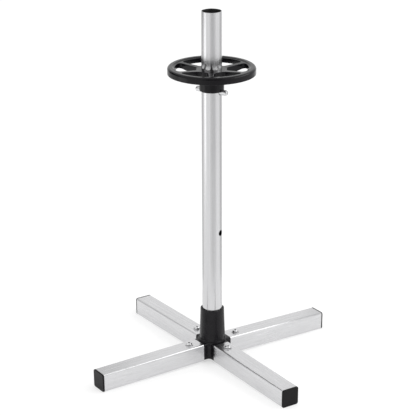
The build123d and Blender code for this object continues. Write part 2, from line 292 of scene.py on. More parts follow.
class Effect:
    """A shader effect that several finishes share: one node group, built once.

    A subclass gives the group's name, its inputs as pairs of label and socket type, and the
    labels of its outputs, and wires them up.
    """

    name: str = ""
    inputs: tuple[tuple[str, str], ...] = ()
    outputs: tuple[str, ...] = ()

    def wire(self, graph: Graph, given: Any, results: Any) -> None:
        """Fills the group.

        Args:
            graph: The group's tree.
            given: The outputs of its input node.
            results: The inputs of its output node.
        """
        raise NotImplementedError

    def tree(self) -> bpy.types.NodeTree:
        """Makes the effect's node group, when it is first asked for.

        Returns:
            The group, the same one each time.
        """
        found = bpy.data.node_groups.get(self.name)
        if found is not None:
            return found
        tree = bpy.data.node_groups.new(self.name, "ShaderNodeTree")
        graph = Graph(tree)
        for label, kind in self.inputs:
            tree.interface.new_socket(label, in_out="INPUT", socket_type=kind)
        for label in self.outputs:
            tree.interface.new_socket(label, in_out="OUTPUT", socket_type="NodeSocketFloat")
        given = graph.node("NodeGroupInput").outputs
        results = graph.node("NodeGroupOutput").inputs
        self.wire(graph, given, results)
        return tree

    def place(self, graph: Graph, **values: Any) -> Any:
        """Puts the effect into a material.

        Args:
            graph: The material's tree.
            values: Its inputs by name, with spaces written as underscores.

        Returns:
            The placed group's outputs, by name.
        """
        node = graph.node("ShaderNodeGroup")
        node.node_tree = self.tree()
        for name, value in values.items():
            graph.feed(node.inputs[name.replace("_", " ")], value)
        return node.outputs


class DrawnGrain(Effect):
    """Hair-fine lines left by drawing and brushing, with broader streaks between them."""

    name = "drawn_grain"
    inputs = (
        ("Vector", "NodeSocketVector"),
        ("Fine", "NodeSocketFloat"),
        ("Broad", "NodeSocketFloat"),
    )
    outputs = ("Lines", "Streaks")

    def wire(self, graph: Graph, given: Any, results: Any) -> None:
        """Lines are a fine noise on stretched coordinates, and streaks a broad one.

        Args:
            graph: The group's tree.
            given: The outputs of its input node.
            results: The inputs of its output node.
        """
        lines = graph.noise(given["Vector"], given["Fine"], detail=4.0, rough=0.65)
        streaks = graph.noise(given["Vector"], given["Broad"], detail=2.0)
        graph.join(graph.span(lines, 0.0, 1.0, 0.3, 0.7), results["Lines"])
        graph.join(graph.span(streaks, 0.0, 1.0, 0.32, 0.68), results["Streaks"])


class Handling(Effect):
    """Faint smears from hands and cloths, and small specks of dust."""

    name = "handling"
    inputs = (("Vector", "NodeSocketVector"), ("Scale", "NodeSocketFloat"))
    outputs = ("Smears", "Specks")

    def wire(self, graph: Graph, given: Any, results: Any) -> None:
        """Smears are a soft, low noise. Specks are the rare peaks of a fine one.

        Args:
            graph: The group's tree.
            given: The outputs of its input node.
            results: The inputs of its output node.
        """
        smears = graph.noise(given["Vector"], given["Scale"], detail=3.0, rough=0.6)
        finer = graph.math("MULTIPLY", given["Scale"], 60.0)
        specks = graph.noise(given["Vector"], finer, detail=1.0)
        graph.join(graph.span(smears, 0.0, 1.0, 0.35, 0.7), results["Smears"])
        graph.join(graph.span(specks, 0.0, 1.0, 0.74, 0.8), results["Specks"])


class MouldGrain(Effect):
    """The fine spark-eroded skin of a moulding, with a slow mottle from the melt's flow."""

    name = "mould_grain"
    inputs = (("Vector", "NodeSocketVector"), ("Scale", "NodeSocketFloat"))
    outputs = ("Pits", "Mottle")

    def wire(self, graph: Graph, given: Any, results: Any) -> None:
        """Pits are a noise at the given scale, and the mottle one forty times as wide.

        Args:
            graph: The group's tree.
            given: The outputs of its input node.
            results: The inputs of its output node.
        """
        pits = graph.noise(given["Vector"], given["Scale"], detail=3.0, rough=0.7)
        wider = graph.math("DIVIDE", given["Scale"], 40.0)
        mottle = graph.noise(given["Vector"], wider, detail=3.0)
        graph.join(graph.span(pits, 0.0, 1.0, 0.25, 0.75), results["Pits"])
        graph.join(graph.span(mottle, 0.0, 1.0, 0.3, 0.7), results["Mottle"])


class EdgeSheenAndWear(Effect):
    """Where edges are worn and a sheen is painted on them: the angle between the true normal and a
    rounded one.
    """

    name = "edge_sheen_and_wear"
    inputs = (("Radius", "NodeSocketFloat"),)
    outputs = ("Mask",)

    def wire(self, graph: Graph, given: Any, results: Any) -> None:
        """The mask is one less the cosine between both normals, stretched to 0..1.

        Args:
            graph: The group's tree.
            given: The outputs of its input node.
            results: The inputs of its output node.
        """
        rounded = graph.node("ShaderNodeBevel", samples=4)
        graph.join(given["Radius"], rounded.inputs["Radius"])
        true = graph.node("ShaderNodeNewGeometry")
        cosine = graph.node("ShaderNodeVectorMath", operation="DOT_PRODUCT")
        graph.join(rounded.outputs["Normal"], cosine.inputs[0])
        graph.join(true.outputs["Normal"], cosine.inputs[1])
        turned = graph.math("SUBTRACT", 1.0, cosine.outputs["Value"])
        graph.join(graph.span(turned, 0.0, 1.0, 0.01, 0.16), results["Mask"])


# ---------------------------------------------------------------------------
# Finishes
# ---------------------------------------------------------------------------


def new_material(name: str) -> tuple[bpy.types.Material, Graph, bpy.types.Node]:
    """Makes a material with one shader.

    Args:
        name: The material's name.

    Returns:
        The material, its graph and its Principled shader.
    """
    material = bpy.data.materials.new(name)
    material.use_nodes = True
    graph = Graph(material.node_tree)
    shader = graph.node("ShaderNodeBsdfPrincipled")
    output = graph.node("ShaderNodeOutputMaterial")
    graph.join(shader.outputs["BSDF"], output.inputs["Surface"])
    return material, graph, shader


@dataclass(frozen=True)
class DrawnSteel:
    """Bare steel tube, drawn and brushed along its length.

    Args:
        name: The material's name.
        direction: The way its grain runs.
        light: Its colour on the raised grain.
        dark: Its colour in the scratches.
        smoothest: Its lowest roughness.
        roughest: Its highest roughness.
        fine: Lines per metre across the grain.
        broad: Streaks per metre across the grain.
        stretch: How many times longer than wide the lines are.
        relief: The height of the grain.
        bore: The radius about the vertical axis inside which the steel is painted dull and dark as shade,
            or 0.
        rim: The height above which the cut end stays bright, free of that painted shade.
        spread: How much the gloss is drawn out, at a right angle to the tube's girth.
        bore_shade_colour: The dark colour painted inside the bore as shade.
        bore_shade_roughness: The roughness of that painted shade.
        smears: Smears per metre left by hands.
        streak_tone: How much of the tone comes from the streaks, and not from the lines.
        streak_wear: How much of the wear comes from the streaks, and not from the smears.
        grain_strength: How much the grain turns the normal.
    """

    name: str
    direction: Direction
    light: Colour
    dark: Colour
    smoothest: float
    roughest: float
    fine: float
    broad: float
    stretch: float
    relief: float
    bore: float = 0.0
    rim: float = 0.0
    spread: float = 0.0
    bore_shade_colour: Colour = (0.008, 0.008, 0.008)
    bore_shade_roughness: float = 0.8
    smears: float = 9.0
    streak_tone: float = 0.35
    streak_wear: float = 0.5
    grain_strength: float = 0.35

    def material(self) -> bpy.types.Material:
        """Makes the material.

        Returns:
            The material.
        """
        material, graph, shader = new_material(self.name)
        factors = list(EVEN)
        factors[self.direction.value] = 1.0 / self.stretch
        along = graph.stretched(tuple(factors))
        plain = graph.stretched(EVEN)
        grain = DrawnGrain().place(graph, Vector=along, Fine=self.fine, Broad=self.broad)
        hands = Handling().place(graph, Vector=plain, Scale=self.smears)
        tone = graph.weigh(grain["Lines"], grain["Streaks"], self.streak_tone)
        colour = graph.mix(tone, self.dark, self.light)
        worn = graph.weigh(hands["Smears"], grain["Streaks"], self.streak_wear)
        roughness = graph.span(worn, self.smoothest, self.roughest)
        metal = 1.0
        # Painted shade: inside the bore the steel turns dark, dull and not metal, standing in for the
        # shade deep in the tube.
        if self.bore > 0.0:
            inside = self.inside(graph, plain)
            colour = graph.mix(inside, colour, self.bore_shade_colour)
            roughness = graph.span(inside, roughness, self.bore_shade_roughness)
            metal = graph.math("SUBTRACT", 1.0, inside)
        graph.join(colour, shader.inputs["Base Color"])
        graph.join(roughness, shader.inputs["Roughness"])
        graph.feed(shader.inputs["Metallic"], metal)
        shader.inputs["Anisotropic"].default_value = self.spread
        shader.inputs["Anisotropic Rotation"].default_value = QUARTER_TURN
        normal = graph.bump(grain["Lines"], self.grain_strength, self.relief)
        graph.join(normal, shader.inputs["Normal"])
        return material

    def inside(self, graph: Graph, place: bpy.types.NodeSocket) -> bpy.types.NodeSocket:
        """Adds a mask of the tube's inside, where shade is painted: 1 within the bore and below the rim,
        0 elsewhere.

        Args:
            graph: The material's tree.
            place: The object's own coordinates.

        Returns:
            The mask's socket.
        """
        parts = graph.node("ShaderNodeSeparateXYZ")
        graph.join(place, parts.inputs["Vector"])
        squares = [graph.math("POWER", parts.outputs[name], 2.0) for name in ("X", "Y")]
        distance = graph.math("SQRT", graph.math("ADD", *squares))
        within = graph.math("LESS_THAN", distance, self.bore)
        below = graph.math("LESS_THAN", parts.outputs["Z"], self.rim)
        return graph.math("MULTIPLY", within, below)


@dataclass(frozen=True)
class MouldedPlastic:
    """Black moulded plastic with a satin skin, and edges lightened by light wear and a painted sheen.

    Args:
        name: The material's name.
        deep: Its colour.
        bloom: Its colour where the mottle is palest.
        sheen_wear_and_dust: Its colour on worn edges, partly a painted sheen there, and on specks of
            dust.
        smoothest: Its lowest roughness.
        roughest: Its highest roughness.
        pits: Pits per metre in its skin.
        relief: The depth of the pits.
        sheen_and_wear_radius: How wide the lightened band along an edge is.
        gloss: The strength of its mirror reflection; 0.5 is a plain clear resin.
        smears: Smears per metre left by hands.
        least_sheen_and_wear: How much of the lightened edge is left where the mottle is darkest.
        dust: How much a speck of dust covers.
        mottle_wear: How much of the wear comes from the mottle, and not from the smears.
        pit_strength: How much the pits turn the normal.
    """

    name: str
    deep: Colour
    bloom: Colour
    sheen_wear_and_dust: Colour
    smoothest: float
    roughest: float
    pits: float = 1700.0
    relief: float = 0.00012
    sheen_and_wear_radius: float = 0.0009
    gloss: float = 0.5
    smears: float = 14.0
    least_sheen_and_wear: float = 0.4
    dust: float = 0.5
    mottle_wear: float = 0.4
    pit_strength: float = 0.3

    def material(self) -> bpy.types.Material:
        """Makes the material.

        Returns:
            The material.
        """
        material, graph, shader = new_material(self.name)
        place = graph.stretched(EVEN)
        skin = MouldGrain().place(graph, Vector=place, Scale=self.pits)
        hands = Handling().place(graph, Vector=place, Scale=self.smears)
        edge = EdgeSheenAndWear().place(graph, Radius=self.sheen_and_wear_radius)
        colour = graph.mix(skin["Mottle"], self.deep, self.bloom)
        # Edges are lightened: partly wear, partly a painted sheen that stands in for edge highlights.
        patchy = graph.span(skin["Mottle"], self.least_sheen_and_wear, 1.0)
        edge_sheen_and_wear = graph.math("MULTIPLY", edge["Mask"], patchy)
        colour = graph.mix(edge_sheen_and_wear, colour, self.sheen_wear_and_dust)
        dusty = graph.math("MULTIPLY", hands["Specks"], self.dust)
        colour = graph.mix(dusty, colour, self.sheen_wear_and_dust)
        graph.join(colour, shader.inputs["Base Color"])
        wear = graph.weigh(hands["Smears"], skin["Mottle"], self.mottle_wear)
        graph.join(graph.span(wear, self.smoothest, self.roughest), shader.inputs["Roughness"])
        shader.inputs["Specular IOR Level"].default_value = self.gloss
        normal = graph.bump(skin["Pits"], self.pit_strength, self.relief)
        graph.join(normal, shader.inputs["Normal"])
        return material


@dataclass(frozen=True)
class PlatedSteel:
    """Bright plated hardware with faint tool marks.

    Args:
        name: The material's name.
        bright: Its colour.
        dull: Its colour where the plating is thin.
        smoothest: Its lowest roughness.
        roughest: Its highest roughness.
        marks: Tool marks per metre.
        streaks: Streaks per metre, where the plating is thin.
        relief: The height of the marks.
        smears: Smears per metre left by hands.
        mark_wear: How much of the wear comes from the marks, and not from the smears.
        mark_strength: How much the marks turn the normal.
    """

    name: str
    bright: Colour
    dull: Colour
    smoothest: float
    roughest: float
    marks: float = 900.0
    streaks: float = 112.5
    relief: float = 0.00005
    smears: float = 60.0
    mark_wear: float = 0.4
    mark_strength: float = 0.12

    def material(self) -> bpy.types.Material:
        """Makes the material.

        Returns:
            The material.
        """
        material, graph, shader = new_material(self.name)
        place = graph.stretched(EVEN)
        grain = DrawnGrain().place(graph, Vector=place, Fine=self.marks, Broad=self.streaks)
        hands = Handling().place(graph, Vector=place, Scale=self.smears)
        colour = graph.mix(grain["Streaks"], self.bright, self.dull)
        graph.join(colour, shader.inputs["Base Color"])
        shader.inputs["Metallic"].default_value = 1.0
        wear = graph.weigh(hands["Smears"], grain["Lines"], self.mark_wear)
        graph.join(graph.span(wear, self.smoothest, self.roughest), shader.inputs["Roughness"])
        normal = graph.bump(grain["Lines"], self.mark_strength, self.relief)
        graph.join(normal, shader.inputs["Normal"])
        return material


Finish = DrawnSteel | MouldedPlastic | PlatedSteel


@cache
def coat(finish: Finish) -> bpy.types.Material:
    """A finish's material, made once and shared by every piece with that finish."""
    return finish.material()


def dress(node: str, finish: Finish) -> None:
    """Gives a carried-over CAD node one material.

    Args:
        node: The node's name.
        finish: What it is finished in.
    """
    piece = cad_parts[node]
    piece.data.materials.clear()
    piece.data.materials.append(coat(finish))
    LOG.info("dressed %s in %s", node, finish.name)


# ---------------------------------------------------------------------------
# Surfaces
# ---------------------------------------------------------------------------


def set_out(name: str, data: bpy.types.ID) -> bpy.types.Object:
    """Makes an object at the origin and puts it into the scene.

    Args:
        name: The object's name.
        data: Its mesh, light or camera.

    Returns:
        The object.
    """
    item = bpy.data.objects.new(name, data)
    bpy.context.scene.collection.objects.link(item)
    return item


def closed_skin(rings: Grid, first: Point, last: Point) -> tuple[Grid, list[Grid]]:
    """Closes a stack of rings into one skin, with a pole at each end.

    Each quad joins two neighbours on one ring to the same two on the next ring, and a fan of
    triangles joins the first and the last ring to its pole. Seen along the stack, the rings run
    anticlockwise, so the faces point away from the solid.

    Args:
        rings: Points as rows of rings, columns round a ring, and x, y, z.
        first: The pole before the first ring.
        last: The pole after the last ring.

    Returns:
        The points, and the faces' point numbers: the quads, the first fan and the last fan.
    """
    rows, columns = rings.shape[:2]
    points = np.vstack((rings.reshape(-1, 3), first, last))
    here = np.arange(columns)
    after = (here + 1) % columns
    start = np.arange(rows - 1)[:, None] * columns
    corners = (start + here, start + columns + here, start + columns + after, start + after)
    quads = np.stack(corners, axis=-1).reshape(-1, 4)
    foot = (rows - 1) * columns
    near = np.column_stack((np.full(columns, rows * columns), here, after))
    far = np.column_stack((foot + here, np.full(columns, rows * columns + 1), foot + after))
    return points, [quads, near, far]


def copies(points: Grid, blocks: list[Grid], seats: list[Matrix]) -> tuple[Grid, list[list[int]]]:
    """Repeats a skin at several places, one whole skin after the other.

    Each copy is all the points turned and moved by its seat's matrix, and its faces are those of
    the first with their point numbers raised by the points of the copies before it.

    Args:
        points: The skin's points.
        blocks: The skin's faces, as arrays of point numbers.
        seats: One turn and place for each copy.

    Returns:
        All the points, and all the faces as lists of point numbers.
    """
    with_ones = np.column_stack((points, np.ones(len(points))))
    every = np.vstack([with_ones @ np.array(seat).T for seat in seats])[:, :3]
    faces = []
    for copy in range(len(seats)):
        for block in blocks:
            faces += (block + copy * len(points)).tolist()
    return every, faces


@dataclass(frozen=True)
class ButtonBolt:
    """A button-head bolt with a hexagon socket and a rolled thread, standing on z = 0.

    Args:
        head_radius: Its head's radius.
        head_height: Its head's height.
        rim_height: The height of the head's upright rim.
        flat_radius: The radius of the flat round the socket.
        crown: How far the head bows out over the straight line from flat to rim.
        across_flats: The socket's size.
        socket_depth: The socket's depth.
        radius: The thread's outer radius.
        length: The shank's length.
        pitch: The thread's pitch.
        thread_depth: The thread's depth.
        flank: How steep the thread's sides are; 1 is a plain triangle with no flats.
        ease: How far an edge is eased.
        crown_rings: Rings from the flat to the rim.
        rings_per_turn: Rings along one pitch of the thread.
        unshaded_bands: Bands of faces at the socket's mouth that stay bright, without painted shade.
        shaded_bands: Bands of faces from the rim to the underside that take the painted shade.
        columns: Points round each ring, a multiple of six.
    """

    head_radius: float = 0.008
    head_height: float = 0.0044
    rim_height: float = 0.0008
    flat_radius: float = 0.0034
    crown: float = 0.0015
    across_flats: float = 0.005
    socket_depth: float = 0.0026
    radius: float = 0.004
    length: float = 0.025
    pitch: float = 0.00125
    thread_depth: float = 0.00068
    flank: float = 1.4
    ease: float = 0.00012
    crown_rings: int = 13
    rings_per_turn: int = 6
    unshaded_bands: int = 2
    shaded_bands: int = 4
    columns: int = 60

    def turns(self) -> Grid:
        """The angles round a ring."""
        return np.linspace(0.0, 2 * pi, self.columns, endpoint=False)

    def socket(self) -> tuple[Grid, Grid]:
        """The socket, from its floor up to the flat.

        A hexagon's radius is half its size over the cosine of the angle from the nearest flat's
        middle. The floor's edge and the mouth are eased by a small step in radius.

        Returns:
            Radii and heights, as rows of rings.
        """
        from_flat = (self.turns() + pi / 6) % (pi / 3) - pi / 6
        hexagon = self.across_flats / 2 / np.cos(from_flat)
        floor = self.head_height - self.socket_depth
        steps = np.array((-0.0009, -self.ease, 0.0, 0.0, 0.0, 0.00008, 0.0002))
        heights = np.array((floor - 0.0002, floor, floor + 0.0001, (floor + self.head_height) / 2))
        mouth = self.head_height + np.array((-0.0003, -0.00008, 0.0))
        radii = hexagon[None, :] + steps[:, None]
        return radii, self.level(np.concatenate((heights, mouth)))

    def level(self, heights: Grid) -> Grid:
        """Repeats each height round its whole ring."""
        return np.repeat(heights[:, None], self.columns, axis=1)

    def head(self) -> tuple[Grid, Grid]:
        """The head's outside, from the flat over the crown and the rim to the underside.

        The crown is the straight line from flat to rim, bowed out square to itself by four times
        the crown height times share times what is left of it, a parabola.

        Returns:
            Radii and heights, as rows of rings.
        """
        share = np.linspace(0.0, 1.0, self.crown_rings)
        run = self.head_radius - self.flat_radius
        drop = self.head_height - self.rim_height
        slant = np.hypot(run, drop)
        bow = 4 * self.crown * share * (1 - share)
        crown_radii = self.flat_radius + run * share + bow * drop / slant
        crown_heights = self.head_height - drop * share + bow * run / slant
        eased = self.head_radius - self.ease
        radii = np.array((self.head_radius, self.head_radius, eased, self.radius))
        heights = np.array((self.rim_height - self.ease, self.ease, 0.0, 0.0))
        flat = np.full(1, self.flat_radius - 0.0002)
        rings = np.concatenate((flat, crown_radii, radii))
        levels = np.concatenate((np.full(1, self.head_height), crown_heights, heights))
        return np.repeat(rings[:, None], self.columns, axis=1), self.level(levels)

    def thread(self) -> tuple[Grid, Grid]:
        """The threaded shank, from the head down to its chamfered tip.

        The crest is a right-handed helix: it rises by one pitch a turn. Across it the radius is a
        clipped triangle wave. It fades in under the head, and a cone trims the tip.

        Returns:
            Radii and heights, as rows of rings.
        """
        rows = int(self.rings_per_turn * self.length / self.pitch)
        heights = self.level(np.linspace(-0.0001, -self.length, rows))
        phase = (heights / self.pitch - self.turns() / (2 * pi)) % 1.0
        triangle = 1.0 - np.abs(2.0 * phase - 1.0)
        wave = np.clip(self.flank * triangle - (self.flank - 1.0) / 2, 0.0, 1.0)
        fade = np.clip(-heights / self.pitch, 0.0, 1.0)
        radii = self.radius - self.thread_depth * (1.0 - wave) * fade
        tip = self.radius - self.thread_depth - 0.0002 + heights + self.length
        return np.minimum(radii, tip), heights

    def skin(self) -> tuple[Grid, list[Grid]]:
        """The bolt's whole skin: socket, head and thread as one stack of rings.

        Returns:
            The points, and the faces as arrays of point numbers.
        """
        parts = (self.socket(), self.head(), self.thread())
        radii = np.concatenate([part[0] for part in parts])
        heights = np.concatenate([part[1] for part in parts])
        turns = self.turns()
        rings = np.stack((radii * np.cos(turns), radii * np.sin(turns), heights), axis=-1)
        floor = self.head_height - self.socket_depth
        return closed_skin(rings, (0.0, 0.0, floor - 0.0007), (0.0, 0.0, -self.length))

    def shaded_faces(self) -> Grid:
        """Which faces take the painted shade: the socket's up to its eased mouth, and the rim's and
        underside's.

        Returns:
            One number for each face, 1 where shade is painted.
        """
        socket_rows = len(self.socket()[0])
        head_rows = len(self.head()[0])
        thread_rows = len(self.thread()[0])
        shaded = np.zeros(socket_rows + head_rows + thread_rows - 1, dtype=np.int32)
        # Painted shade in the socket, up to just below its mouth.
        shaded[: socket_rows - self.unshaded_bands] = 1
        underside = socket_rows + head_rows - 1
        # Painted shade on the rim and underside, where the head meets the washer.
        shaded[underside - self.shaded_bands : underside] = 1
        bands = np.repeat(shaded, self.columns)
        return np.concatenate((bands, np.ones(self.columns), np.zeros(self.columns))).astype(int)


# ---------------------------------------------------------------------------
# Sub-assemblies
# ---------------------------------------------------------------------------


@dataclass
class CrossBase:
    """The hub with its four legs, their end plugs and their hardware.

    Args:
        hub_finish: The hub's finish.
        cap_finish: The end plugs' finish.
        leg_finishes: The legs' finish for each direction of the grain.
        hardware_finish: The finish of the bolts, washers and nuts.
        shade_finish: The dark material that paints shade in the bolts' sockets and round their rims.
        bolt: One leg bolt.
        leg_reach: The distance from the upright's axis to a leg's outer end.
        leg_drop: How far a leg slopes down outwards.
        bolt_distance: The distance from the upright's axis to a bolt's axis, along the leg.
        bolt_seat: The height of a bolt's seat over the leg's underside.
        sharp_angle: The angle between two faces from which a bolt's edge shows as sharp.
    """

    hub_finish: MouldedPlastic
    cap_finish: MouldedPlastic
    leg_finishes: dict[Direction, DrawnSteel]
    hardware_finish: PlatedSteel
    shade_finish: MouldedPlastic
    bolt: ButtonBolt = ButtonBolt()
    leg_reach: float = 0.336
    leg_drop: float = 0.95
    bolt_distance: float = 0.07
    bolt_seat: float = 0.0475
    sharp_angle: float = 40.0

    def seats(self) -> list[Matrix]:
        """Where the bolts stand: one turn and place for each leg.

        A leg's own frame starts at its outer end and tilts down by its drop. A bolt stands at its
        distance from the upright, on the washer.

        Returns:
            One placing for each leg.
        """
        tilt = Matrix.Rotation(radians(self.leg_drop), 4, "Y")
        outer_end = Matrix.Translation((self.leg_reach, 0.0, 0.0)) @ tilt
        inward = Matrix.Translation((self.bolt_distance - self.leg_reach, 0.0, self.bolt_seat))
        return [Matrix.Rotation(radians(leg.value), 4, "Z") @ outer_end @ inward for leg in Leg]

    def build(self) -> bpy.types.Object:
        """Makes the four leg bolts as one piece, in place of the plain ones.

        Returns:
            The piece.
        """
        seats = self.seats()
        points, faces = copies(*self.bolt.skin(), seats)
        mesh = bpy.data.meshes.new("button_bolts")
        mesh.from_pydata(points.tolist(), [], faces)
        mesh.shade_smooth()
        mesh.set_sharp_from_angle(angle=radians(self.sharp_angle))
        mesh.materials.append(coat(self.hardware_finish))
        # The second material paints shade into the sockets and under the heads' rims.
        mesh.materials.append(coat(self.shade_finish))
        mesh.polygons.foreach_set("material_index", np.tile(self.bolt.shaded_faces(), len(seats)))
        bolts = set_out("button_bolts", mesh)
        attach(bolts, "base")
        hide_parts("leg_bolts")
        LOG.info("built button_bolts with %d faces", len(faces))
        return bolts

    def dress(self) -> None:
        """Gives every node of the base its finish."""
        dress("base_hub", self.hub_finish)
        for leg in Leg:
            dress(leg.tube, self.leg_finishes[leg.direction])
            dress(leg.cap, self.cap_finish)
        for node in ("leg_washers", "leg_nuts"):
            dress(node, self.hardware_finish)


@dataclass
class Upright:
    """The upright tube and the pin that crosses it.

    Args:
        tube_finish: The tube's finish.
        pin_finish: The pin's finish.
    """

    tube_finish: DrawnSteel
    pin_finish: PlatedSteel

    def dress(self) -> None:
        """Gives the tube and the pin their finishes."""
        dress("upright_pole", self.tube_finish)
        dress("cross_pin", self.pin_finish)


@dataclass
class Carrier:
    """The spoked disc on which the lowest wheel rests.

    Args:
        finish: The disc's finish.
    """

    finish: MouldedPlastic

    def dress(self) -> None:
        """Gives the disc its finish."""
        dress("support_disc", self.finish)


# ---------------------------------------------------------------------------
# Studio
# ---------------------------------------------------------------------------


def bearing(azimuth: float, elevation: float = 0.0) -> Point:
    """The way from the stand to something round it.

    Args:
        azimuth: 0 is towards -Y and 90 towards +X.
        elevation: The angle above the horizon.

    Returns:
        A direction of length 1.
    """
    turn, rise = radians(azimuth), radians(elevation)
    return sin(turn) * cos(rise), -cos(turn) * cos(rise), sin(rise)


def flat_sheet(name: str, corners: Grid) -> bpy.types.Object:
    """Makes a sheet of one face.

    Args:
        name: Its name.
        corners: Its four corners, in order round it.

    Returns:
        The sheet.
    """
    mesh = bpy.data.meshes.new(name)
    mesh.from_pydata(corners.tolist(), [], [(0, 1, 2, 3)])
    return set_out(name, mesh)


@dataclass
class Viewpoint:
    """Where the camera stands.

    Args:
        azimuth: Its bearing: from 0 it looks along +Y, and from 90 along -X.
        elevation: How far above the horizon it stands.
        distance: How far it is from the point it looks at.
        lens: Its focal length in millimetres.
        sensor: Its sensor's width in millimetres.
        tilt: How far it is turned about its own line of sight.
        aim: The point that it looks at.
    """

    azimuth: float = -33.66
    elevation: float = 20.3037
    distance: float = 4.05915
    lens: float = 141.86
    sensor: float = 36.0
    tilt: float = -0.1959
    aim: Point = (-0.0083, 0.0055, 0.4044)

    def build(self) -> bpy.types.Object:
        """Makes the camera and gives it to the scene.

        Returns:
            The camera.
        """
        data = bpy.data.cameras.new("viewpoint")
        data.lens = self.lens
        data.sensor_width = self.sensor
        camera = set_out("viewpoint", data)
        back = Vector(bearing(self.azimuth, self.elevation))
        camera.location = Vector(self.aim) + back * self.distance
        camera.rotation_mode = "QUATERNION"
        upright = (-back).to_track_quat("-Z", "Y")
        camera.rotation_quaternion = upright @ Quaternion((0, 0, 1), radians(self.tilt))
        bpy.context.scene.camera = camera
        return camera


@dataclass
class Surroundings:
    """The soft light from all round: how bright the studio's walls and ceiling are.

    Args:
        walls: Pairs of compass share and brightness; 0.5 looks along +X, and 0 and 1 along -X.
        ceiling: Brightness straight overhead.
        strength: A factor on all of it.
    """

    walls: tuple[tuple[float, float], ...]
    ceiling: float
    strength: float

    def build(self) -> bpy.types.World:
        """Makes the world: the walls' brightness round the compass, blended into the ceiling.

        Returns:
            The world.
        """
        world = bpy.data.worlds.new("studio")
        world.use_nodes = True
        graph = Graph(world.node_tree)
        way = graph.node("ShaderNodeTexCoord").outputs["Generated"]
        compass = graph.node("ShaderNodeTexGradient", gradient_type="RADIAL")
        graph.join(way, compass.inputs["Vector"])
        ramp = graph.node("ShaderNodeValToRGB")
        graph.join(compass.outputs["Fac"], ramp.inputs["Fac"])
        ramp.color_ramp.interpolation = "EASE"
        stops = ramp.color_ramp.elements
        while len(stops) < len(self.walls):
            stops.new(1.0)
        for stop, (share, level) in zip(stops, self.walls):
            stop.position = share
            stop.color = (level, level, level, 1.0)
        parts = graph.node("ShaderNodeSeparateXYZ")
        graph.join(way, parts.inputs["Vector"])
        upward = graph.span(parts.outputs["Z"], 0.0, 1.0, 0.25, 0.8)
        overhead = (self.ceiling, self.ceiling, self.ceiling)
        light = graph.mix(upward, ramp.outputs["Color"], overhead)
        background = graph.node("ShaderNodeBackground")
        graph.join(light, background.inputs["Color"])
        background.inputs["Strength"].default_value = self.strength
        output = graph.node("ShaderNodeOutputWorld")
        graph.join(background.outputs["Background"], output.inputs["Surface"])
        bpy.context.scene.world = world
        return world


@dataclass
class Floor:
    """The plain pale floor, a lit table whose own glow softens every shadow on it.

    Args:
        half_side: Half its side.
        colour: Its colour.
        shade: How dark its mottle gets, as a share of its colour.
        glow: The light it gives off.
    """

    half_side: float = 30.0
    colour: Colour = (0.5, 0.5, 0.5)
    shade: float = 0.985
    glow: float = 0.55

    def build(self) -> bpy.types.Object:
        """Makes the floor, just under the lowest point of the stand.

        Returns:
            The floor.
        """
        level = CAD_BOX[0].z - FLOOR_GAP
        corners = np.array([(-1, -1), (1, -1), (1, 1), (-1, 1)]) * self.half_side
        floor = flat_sheet("floor", np.column_stack((corners, np.full(4, level))))
        material, graph, shader = new_material("floor")
        place = graph.stretched(EVEN)
        grain = MouldGrain().place(graph, Vector=place, Scale=400.0)
        darker = tuple(self.shade * part for part in self.colour)
        graph.join(graph.mix(grain["Mottle"], darker, self.colour), shader.inputs["Base Color"])
        shader.inputs["Roughness"].default_value = 0.75
        shader.inputs["Specular IOR Level"].default_value = 0.0
        shader.inputs["Emission Color"].default_value = (1.0, 1.0, 1.0, 1.0)
        shader.inputs["Emission Strength"].default_value = self.glow
        floor.data.materials.append(material)
        return floor


@dataclass
class SoftBox:
    """A soft lamp that faces the upright.

    Args:
        name: Its name.
        azimuth: Its bearing, on the camera's scale.
        distance: How far from the point it faces it hangs.
        size: Its width and height.
        brightness: How bright its face is, where 1 is paper in full light.
        aim_height: The height of the point on the upright's axis that it faces.
        elevation: How far above that point it hangs.
    """

    name: str
    azimuth: float
    distance: float
    size: tuple[float, float]
    brightness: float
    aim_height: float
    elevation: float = 0.0

    def build(self) -> bpy.types.Object:
        """Makes the lamp.

        Returns:
            The lamp.
        """
        width, height = self.size
        data = bpy.data.lights.new(self.name, "AREA")
        data.shape = "RECTANGLE"
        data.size, data.size_y = width, height
        data.energy = self.brightness * pi * width * height
        lamp = set_out(self.name, data)
        back = Vector(bearing(self.azimuth, self.elevation))
        lamp.location = back * self.distance + Vector((0, 0, self.aim_height))
        lamp.rotation_mode = "QUATERNION"
        lamp.rotation_quaternion = back.to_track_quat("Z", "Y")
        lamp.visible_camera = False
        return lamp


